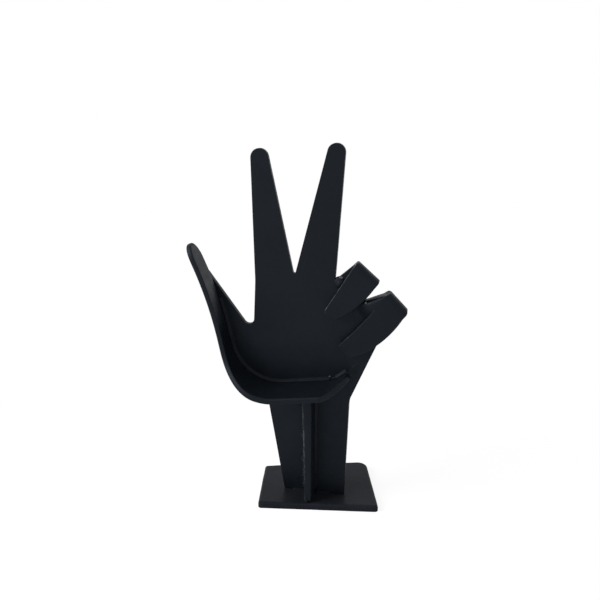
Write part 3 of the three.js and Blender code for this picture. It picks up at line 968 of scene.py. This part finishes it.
class IRONHAND_OT_hand(Operator):
    """Make the hand plate: wrist, palm, two open fingers and the web to the thumb"""

    bl_idname = "iron_hand.hand"
    bl_label = "Hand plate"

    def execute(self, context):
        size = settings()
        hand, plate = size.hand, size.stock.plate
        at, ends = band_path()
        heel_centre = beside(at, ends[3], -size.band.heel_radius)
        web_end = beside(at, hand.web_start, plate / 2)
        behind = beside(at, np.linspace(hand.web_start + plate, ends[3] - plate, 10), plate)
        wrist_top = beside(at, hand.wrist_meets, plate)
        circles = [
            (hand.wrist_foot[0], 0, 0),
            (hand.wrist_foot[1], 0, 0),
            hand.wrist_neck,
            (*hand.knuckle_low, 0),
            (*hand.knuckle_middle, 0),
            (*hand.knuckle_top, 0),
            hand.middle_tip,
            hand.finger_notch,
            hand.index_tip,
            hand.index_inside,
            hand.thumb_notch,
            (*web_end, 0),
            *[(*point, 0) for point in behind],
            (*heel_centre, size.band.heel_radius + plate),
            (*wrist_top, 0),
        ]
        circles = softened([tuple(circle) for circle in circles], size.stock.corner)
        edges = size.stock.edge, size.stock.edge
        points, faces, wear = plate_surface(circles, plate, edges, hand.wander, seed=11)
        points = on_hand(points[:, 0], points[:, 2], points[:, 1])
        finished("hand", (points, faces, CUT_RUB * wear), plate_iron(), "hand_plate")
        return {"FINISHED"}


class IRONHAND_OT_band(Operator):
    """Make the band that is the thumb, the heel and the tray"""

    bl_idname = "iron_hand.band"
    bl_label = "Thumb and tray"

    def execute(self, context):
        band = settings().band
        at, ends = band_path()
        heel_start, heel_end, lip_start, long = ends[3], ends[4], ends[5], ends[7]

        def sides(s):
            thumb = np.interp(s, [0, heel_start], [band.tip_wide, band.thumb_wide])
            wide = thumb + (band.tray_deep - thumb) * smooth(s, heel_start, heel_end - band.tray_full)
            lip = np.clip((s - lip_start) / (long - lip_start), 0, 1)
            return 0 * s, wide + (band.lip_deep - wide) * lip

        def edges(s):
            """The thumb's rim is round outside and crisp inside, and round the heel that changes over."""
            fine = settings().stock.edge
            full = smooth(s, 0, band.tip_long)
            tray = smooth(s, heel_start, heel_end)
            middle = (fine + band.rim) / 2
            rear = middle + (fine - middle) * full
            inside = middle + (fine - middle) * full + (band.rim - fine) * tray
            outside = middle + (band.rim - middle) * full - (band.rim - fine) * tray
            return (rear, rear), (inside, outside)

        def rub(s):
            tip = TIP_RUB * (1 - smooth(s, band.tip_long / 2, 1.5 * band.tip_long))
            return (0 * s, 0 * s), (tip, tip)

        def place(x, y, across):
            return on_hand(x, -across, y)

        tip = band.tip_wide / 2, band.tip_long
        square = settings().stock.corner
        corners = [(tip, (square, square)), (tip, (band.lip_corner, band.lip_corner))]
        surface = strip_surface(at, long, sides, edges, corners, rub, place)
        finished("thumb_and_tray", surface, plate_iron(), "thumb_tray")
        return {"FINISHED"}


class IRONHAND_OT_rib(Operator):
    """Make the bar on edge in front of the wrist"""

    bl_idname = "iron_hand.rib"
    bl_label = "Rib"

    def execute(self, context):
        size = settings()
        rib = size.rib
        left, _, tall = rib_sides()
        circles = [
            (0, 0, 0),
            (0, tall, 0),
            (rib.nose - rib.deep, tall - rib.nose, rib.nose),
            (rib.toe - rib.deep, rib.toe, rib.toe),
        ]
        circles = softened(circles, rib.left_edge + COLLAR)
        edges = rib.left_edge, rib.right_edge
        fine = {"step": 0.4 * MM, "waves": 90}  # closer than a plate's, because its edges are worn
        points, faces, wear = plate_surface(circles, size.stock.rib, edges, rib.wander, seed=21, **fine)
        # Bare iron only on the front of the bar's left half: a rubbed edge that also paints the highlight
        # of light from the left, and a painted glint at the toe.
        front = smooth(-points[:, 0], rib.deep - 2 * rib.left_edge, rib.deep - rib.left_edge)
        left_half = points[:, 2] < size.stock.rib / 2
        toe = smooth(-points[:, 1], -1.4 * rib.toe, -0.3 * rib.toe)
        wear = np.maximum(RIB_RUB_AND_HIGHLIGHT * wear, TOE_GLINT * toe) * front * left_half
        near_top = smooth(points[:, 1], tall - rib.flare_long, tall)
        spread = rib.flare * near_top * (1 - points[:, 2] / size.stock.rib)
        points = on_hand(left + points[:, 2] - spread, points[:, 0], points[:, 1])
        finished("rib", (points, faces, wear), plate_iron(), "wrist_rib")
        return {"FINISHED"}


class IRONHAND_OT_fingers(Operator):
    """Make the ring and little fingers, folded forward over the palm"""

    bl_idname = "iron_hand.fingers"
    bl_label = "Folded fingers"

    def finger(self, name, root, far, size, bright, rubbed, slot_node):
        """One finger, dull along its fold; its left edge is rubbed from a share of its length to the tip.

        bright is that share, and rubbed the wear there, which also paints the highlight that light from the
        left puts on that edge.
        """
        fold, stock = settings().fold, settings().stock
        root, along, away, wide = finger_frame(root, far)
        at, ends, sides = finger_path(size, wide)
        long = ends[-1]
        centre = at(ends[1])[0], fold.gap / 2
        middle = sum(sides(ends[1])) / 2

        def edges(s):
            return ((0 * s + stock.edge, 0 * s + stock.edge),) * 2

        # The rubbed left edge also paints the highlight that light from the left puts on it.
        def rub(s):
            worn = rubbed * smooth(s, (bright - RUB_START) * long, bright * long)
            return (0 * s, worn), (0 * s, 0 * s)

        def place(x, y, across):
            """The fold's round is a superellipse: its points move out from the fold's centre.

            Seen from the front, the fold's two corners are quarter circles.
            """
            u, v = np.maximum(x - centre[0], 0), y - centre[1]
            far = (u**fold.crisp + np.abs(v) ** fold.crisp) ** (1 / fold.crisp)
            out = np.where(u > 0, np.hypot(u, v) / far - 1, 0)
            x, y = x + out * u, y + out * v
            near = np.clip(x - (centre[0] + fold.gap / 2 + stock.plate - size.round), 0, size.round)
            across = across + np.sign(middle - across) * (size.round - np.sqrt(size.round**2 - near**2))
            return root + x[..., None] * away + y[..., None] * FRONT + across[..., None] * along

        corners = [((stock.corner, stock.corner), (fold.tip, fold.tip))] * 2
        points, faces, wear = strip_surface(at, long, sides, edges, corners, rub, place, step=0.2 * MM)
        past = (points - root) @ away - centre[0]
        wear = wear - FOLD_DULL * smooth(past, 1.1 * stock.plate, 1.4 * stock.plate)
        finished(name, (points, faces, wear), plate_iron(), slot_node)

    def execute(self, context):
        size = settings()
        hand = size.hand
        top, middle, low = hand.knuckle_top, hand.knuckle_middle, hand.knuckle_low
        self.finger("ring", top, middle, size.ring, bright=0.3, rubbed=1.2, slot_node="ring_finger")
        self.finger("little", middle, low, size.little, bright=0.6, rubbed=0.8, slot_node="little_finger")
        return {"FINISHED"}


class IRONHAND_OT_knuckle_welds(Operator):
    """Make the beads across the roots of the folded fingers"""

    bl_idname = "iron_hand.knuckle_welds"
    bl_label = "Knuckle welds"

    def bead(self, name, root, far, size, drops, slot_node, seed):
        """Bead across a root, with a pool at its end and drops beside it, whose wear paints glints on them.
        """
        weld = settings().weld
        root, along, away, wide = finger_frame(root, far)
        start = root + along * (size.left[0] + weld.knuckle_stop)
        end = root + along * (wide - size.right[0] - weld.knuckle_stop)
        half = (weld.knuckle_half, weld.knuckle_half)
        surface = straight_bead(start, end, away, FRONT, half, dome_section(), 0, weld.uneven, seed)

        def place(u, v, w):
            return root + along * u + away * v + REAR * w

        pool, *glint_drops = drop_spots(drops, place)
        pool = spatter([pool], FRONT, POOL_SHINE)
        surface = joined(surface, pool, spatter(glint_drops, FRONT, KNUCKLE_GLINT))
        finished(name, surface, weld_iron(), slot_node)

    def closing(self, name, root, far, size, slot_node, seed):
        """Bead that closes a fold's left side: it fills the corner to the root's side, level with the flap.

        Its height follows the flap's face and above that the fold's superellipse, and runs out on the palm
        as a smooth step. Its side is dull, and at the palm it reaches under the ring finger.
        """
        fold, stock, weld = settings().fold, settings().stock, settings().weld
        root, along, away, wide = finger_frame(root, far)
        _, ends, sides = finger_path(size, wide)
        inner, level, turned = fold.gap / 2, ends[1] + stock.gap, ends[2]
        radius = inner + stock.plate
        low = -weld.fold_toe
        top = level + radius / 2
        up = np.linspace(low, top, CLOSING_STEPS)
        beyond = np.maximum(up - level, 0)
        tall = inner + (radius**fold.crisp - beyond**fold.crisp) ** (1 / fold.crisp)
        tall -= np.maximum(level - up, 0) * math.tan(fold.close)
        run_out = CLOSING_THIN + (1 - CLOSING_THIN) * smooth(up, low, low + weld.fold_end)
        high = tall * run_out + weld.fold_back
        flap_side = sides(turned + level - up)[0] + stock.edge
        overflow = weld.overflow * (1 - smooth(up, level, top))
        under = weld.fold_under * (1 - smooth(up, 0, level / 3))
        leg = flap_side - sides(up - stock.gap)[0] + overflow + under
        line = root + flap_side[:, None] * along + up[:, None] * away + weld.fold_back * REAR
        across = -(leg / high)[:, None] * along
        front = np.tile(FRONT, (len(up), 1))
        section = fillet_section(SQUARE)
        points, faces, _ = bead_surface(line, across, front, high, section, 0, 0, seed, blunt=1)
        dull = CLOSING_DULL * np.append(section[0] ** CLOSING_FADE, [0, 0, 1])
        finished(name, (points, faces, np.tile(-dull, len(up))), plate_iron(), slot_node)

    def execute(self, context):
        size = settings()
        top, middle, low = size.hand.knuckle_top, size.hand.knuckle_middle, size.hand.knuckle_low
        self.bead("ring_root_bead", top, middle, size.ring, RING_DROPS, "ring_finger_weld", seed=31)
        self.bead("little_root_bead", middle, low, size.little, LITTLE_DROPS, "little_finger_weld", seed=33)
        self.closing("little_fold_bead", middle, low, size.little, "little_fold_weld", seed=35)
        return {"FINISHED"}


class IRONHAND_OT_tray_weld(Operator):
    """Make the long bead in the corner between the band and the palm"""

    bl_idname = "iron_hand.tray_weld"
    bl_label = "Tray weld"

    def lip_end(self, at, end):
        """Hollow fillet round the end of the lip, a little longer than the lip is thick."""
        weld = settings().weld
        on_lip, on_palm = weld.lip_round
        lip = beside(at, end, np.array(LIP_PAST) * settings().stock.plate)
        ends = on_hand(lip[:, 0], 0, lip[:, 1])
        heading = at(end - weld.lip_stop)[2]
        past = np.array([math.cos(heading), 0, math.sin(heading)]) * on_palm / on_lip
        return straight_bead(*ends, past, FRONT, (on_lip, on_lip), fillet_section(HOLLOW), 0, 0, seed=43)

    def execute(self, context):
        size = settings()
        weld = size.weld
        at, ends = band_path()
        stop = ends[7] - weld.lip_stop
        s = np.arange(weld.tray_start, stop, weld.pitch / RIPPLE_STEPS)
        corner = beside(at, s, -size.stock.gap)
        heading = at(s)[2]
        line = on_hand(corner[:, 0], 0, corner[:, 1])
        inward = np.stack([-np.sin(heading), 0 * s, np.cos(heading)], axis=-1)
        thin = smooth(s, weld.crater, weld.crater + weld.tray_leg)
        thin = thin - smooth(s, weld.lip_start - weld.lip_leg, weld.lip_start)
        leg = np.interp(s, [ends[5], stop], [weld.tray_leg, weld.lip_leg]) * (1 - CRATER_THIN * thin)
        front = np.tile(FRONT, (len(s), 1))
        rough = {"ripple": weld.ripple, "uneven": weld.uneven, "seed": 41, "blunt": 0.7}
        points, faces, wear = bead_surface(line, inward, front, leg, fillet_section(LOW), **rough)
        # A small drop just past the crater, whose wear paints a glint in bare iron.
        crater = np.argmin(np.abs(s - weld.crater - 0.6 * weld.tray_leg))
        spot = line[crater] + 0.66 * weld.tray_leg * inward[crater]
        drop = spatter([(*spot, 0.6 * weld.tray_leg)], FRONT, CRATER_GLINT)
        surface = joined((points, faces, wear - TRAY_DULL), drop, self.lip_end(at, ends[7]))
        finished("tray_bead", surface, weld_iron(), "tray_weld")
        return {"FINISHED"}


class IRONHAND_OT_rib_welds(Operator):
    """Make the beads in the corners beside the rib, with the spatter left of it"""

    bl_idname = "iron_hand.rib_welds"
    bl_label = "Rib welds"

    def execute(self, context):
        size = settings()
        weld = size.weld
        left, right, tall = rib_sides()
        foot = weld.wrist_leg + size.stock.gap
        top = tall - weld.rib_stop

        def bead(x, side, legs, power, ripple, uneven, seed):
            ends = on_hand(x, 0, foot), on_hand(x, 0, top)
            return straight_bead(*ends, side, FRONT, legs, fillet_section(power), ripple, uneven, seed)

        def on_wrist(x, y, z):
            return on_hand(left + x, y, z)

        def on_bar(x, y, z):
            return on_hand(left + x, y - size.rib.deep, z)

        # Spatter left of the bar and a drop at its toe, whose wear paints light specks and a glint in bare
        # iron.
        drops = [*drop_spots(RIB_DROPS, on_wrist), *drop_spots([TOE_DROP], on_bar)]
        rough = bead(left, -RIGHT, weld.rib_left, FULL, weld.rough, 2 * weld.uneven, seed=51)
        rough = joined(rough, spatter(drops, FRONT, RIB_SPECK_GLINT))
        finished("rib_bead_left", rough, weld_iron(), "rib_weld_left")
        plain = bead(right, RIGHT, weld.rib_right, FLAT, ripple=0.02, uneven=0.05, seed=53)
        finished("rib_bead_right", plain, weld_iron(), "rib_weld_right")
        return {"FINISHED"}


class IRONHAND_OT_wrist_welds(Operator):
    """Make the tacks and the rear bead at the foot of the wrist"""

    bl_idname = "iron_hand.wrist_welds"
    bl_label = "Wrist welds"

    def execute(self, context):
        size = settings()
        weld, gap, plate = size.weld, size.stock.gap, size.stock.plate
        left, right, _ = rib_sides()
        legs = (weld.wrist_leg, weld.wrist_leg)
        section = fillet_section(LOW)

        def bead(name, start, end, depth, face, slot_node, seed):
            ends = on_hand(start, depth, 0), on_hand(end, depth, 0)
            points, faces, wear = straight_bead(*ends, face, UP, legs, section, weld.ripple, 0, seed)
            finished(name, (points, faces, wear - TACK_DULL), weld_iron(), slot_node)

        bead("wrist_tack_left", left - gap - weld.tack, left - gap, 0, FRONT, "wrist_weld_left", 61)
        bead("wrist_tack_right", right + gap, right + gap + weld.tack, 0, FRONT, "wrist_weld_right", 63)
        bead("wrist_bead_rear", -weld.rear / 2, weld.rear / 2, plate, REAR, "wrist_weld_rear", 65)
        return {"FINISHED"}


# Stage

FLOOR_HALF = 6.0
SENSOR = 36
PAPER = (0.92, 0.92, 0.92, 1)
WHITE = (1, 1, 1, 1)


class IRONHAND_OT_stage(Operator):
    """Make the floor, the light and the camera"""

    bl_idname = "iron_hand.stage"
    bl_label = "Stage"

    def seen(self, tree):
        """1 for rays from the camera and for those that gloss or glass sends on."""
        path = node(tree, "ShaderNodeLightPath").outputs
        either = math_node(tree, "MAXIMUM", path["Is Camera Ray"], path["Is Glossy Ray"])
        return math_node(tree, "MAXIMUM", either, path["Is Transmission Ray"])

    def world(self, look):
        world = bpy.data.worlds.new("White studio")
        world.use_nodes = True
        tree = world.node_tree
        tree.nodes.clear()
        sky = node(tree, "ShaderNodeBackground", {"Color": WHITE, "Strength": look.sky})
        white = node(tree, "ShaderNodeBackground", {"Color": WHITE, "Strength": 1.0})
        mix = {0: self.seen(tree), 1: sky.outputs[0], 2: white.outputs[0]}
        mixed = node(tree, "ShaderNodeMixShader", mix).outputs[0]
        node(tree, "ShaderNodeOutputWorld", {"Surface": mixed})
        bpy.context.scene.world = world

    def floor(self, look):
        """White paper that lights itself where it is seen.

        Near the object it does so less, and the rest of its white takes the shadow.
        """
        material = bpy.data.materials.new("White floor")
        material.use_nodes = True
        tree = material.node_tree
        tree.nodes.clear()
        place = node(tree, "ShaderNodeTexCoord").outputs["Object"]
        far = node(tree, "ShaderNodeVectorMath", {0: place}, operation="LENGTH").outputs["Value"]
        direct = node(tree, "ShaderNodeLightPath").outputs["Is Camera Ray"]
        mirrored = math_node(tree, "SUBTRACT", 1.0, direct)
        paper_share = ramped(tree, mirrored, 0.0, 1.0, look.paper, look.mirrored_paper)
        reach = ramped(tree, mirrored, 0.0, 1.0, look.shade_far, look.mirrored_far)
        shade = math_node(tree, "MULTIPLY", ramped(tree, far, 0.0, reach, 1.0, 0.0), paper_share)
        light = ramped(tree, mirrored, 0.0, 1.0, look.open_light, 1.0)
        glow = math_node(tree, "SUBTRACT", 1.0, math_node(tree, "MULTIPLY", shade, light))
        white = node(tree, "ShaderNodeEmission", {"Color": WHITE, "Strength": glow})
        paper = node(tree, "ShaderNodeBsdfDiffuse", {"Color": PAPER})
        thin = node(tree, "ShaderNodeBsdfDiffuse", {"Color": shade})
        seen = node(tree, "ShaderNodeAddShader", {0: white.outputs[0], 1: thin.outputs[0]})
        mix = {0: self.seen(tree), 1: paper.outputs[0], 2: seen.outputs[0]}
        mixed = node(tree, "ShaderNodeMixShader", mix).outputs[0]
        node(tree, "ShaderNodeOutputMaterial", {"Surface": mixed})
        mesh = bpy.data.meshes.new("floor")
        square = [(-1, -1), (1, -1), (1, 1), (-1, 1)]
        mesh.from_pydata([(x * FLOOR_HALF, y * FLOOR_HALF, 0) for x, y in square], [], [(0, 1, 2, 3)])
        mesh.materials.append(material)
        floor = bpy.data.objects.new("floor", mesh)
        bpy.context.scene.collection.objects.link(floor)
        floor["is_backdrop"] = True

    def lamp(self, name, power, size, place, aim):
        lamp = bpy.data.lights.new(name, "AREA")
        lamp.energy = power
        lamp.size = size
        made = bpy.data.objects.new(name, lamp)
        made.location = place
        made.rotation_euler = (Vector(aim) - Vector(place)).to_track_quat("-Z", "Y").to_euler()
        bpy.context.scene.collection.objects.link(made)

    def camera(self, look):
        camera = bpy.data.cameras.new("camera")
        camera.lens = look.lens
        camera.sensor_width = SENSOR
        made = bpy.data.objects.new("camera", camera)
        made.location = look.eye
        made.rotation_euler = (math.pi / 2 - look.tilt, 0, look.turn)
        bpy.context.scene.collection.objects.link(made)
        bpy.context.scene.camera = made

    def execute(self, context):
        look = settings().stage
        self.world(look)
        self.floor(look)
        middle = (CAD_BOX[0] + CAD_BOX[1]) / 2
        self.lamp("key", look.key, look.key_wide, look.key_place, middle)
        self.camera(look)
        context.scene.view_settings.view_transform = "Standard"
        return {"FINISHED"}


class IRONHAND_PT_panel(Panel):
    """Lists the pieces and the sizes of the iron hand"""

    bl_idname = "IRONHAND_PT_panel"
    bl_label = "Iron Hand"
    bl_space_type = "VIEW_3D"
    bl_region_type = "UI"
    bl_category = "Iron Hand"

    def draw(self, context):
        for operator in OPERATORS:
            self.layout.operator(operator.bl_idname)
        sizes = context.scene.iron_hand
        for group in IronHandSettings.__annotations__:
            box = self.layout.box()
            box.label(text=sizes.bl_rna.properties[group].name)
            inner = getattr(sizes, group)
            for name in type(inner).__annotations__:
                box.prop(inner, name)


SETTINGS = (
    StockSizes,
    FootSizes,
    HandSizes,
    FoldSizes,
    RingSizes,
    LittleSizes,
    BandSizes,
    RibSizes,
    WeldSizes,
    FinishLook,
    StageLook,
    IronHandSettings,
)
OPERATORS = (
    IRONHAND_OT_foot,
    IRONHAND_OT_hand,
    IRONHAND_OT_band,
    IRONHAND_OT_rib,
    IRONHAND_OT_fingers,
    IRONHAND_OT_knuckle_welds,
    IRONHAND_OT_tray_weld,
    IRONHAND_OT_rib_welds,
    IRONHAND_OT_wrist_welds,
    IRONHAND_OT_stage,
)


def register():
    for made in (*SETTINGS, *OPERATORS, IRONHAND_PT_panel):
        bpy.utils.register_class(made)
    bpy.types.Scene.iron_hand = PointerProperty(type=IronHandSettings)


def unregister():
    del bpy.types.Scene.iron_hand
    for made in reversed((*SETTINGS, *OPERATORS, IRONHAND_PT_panel)):
        bpy.utils.unregister_class(made)


def main():
    register()
    bpy.ops.iron_hand.foot()
    bpy.ops.iron_hand.hand()
    bpy.ops.iron_hand.band()
    bpy.ops.iron_hand.rib()
    bpy.ops.iron_hand.fingers()
    bpy.ops.iron_hand.knuckle_welds()
    bpy.ops.iron_hand.tray_weld()
    bpy.ops.iron_hand.rib_welds()
    bpy.ops.iron_hand.wrist_welds()
    bpy.ops.iron_hand.stage()
    boxes = {"cad": CAD_BOX, "visual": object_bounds()}
    {name: [list(corner) for corner in box] for name, box in boxes.items()}


if __name__ == "__main__":
    main()
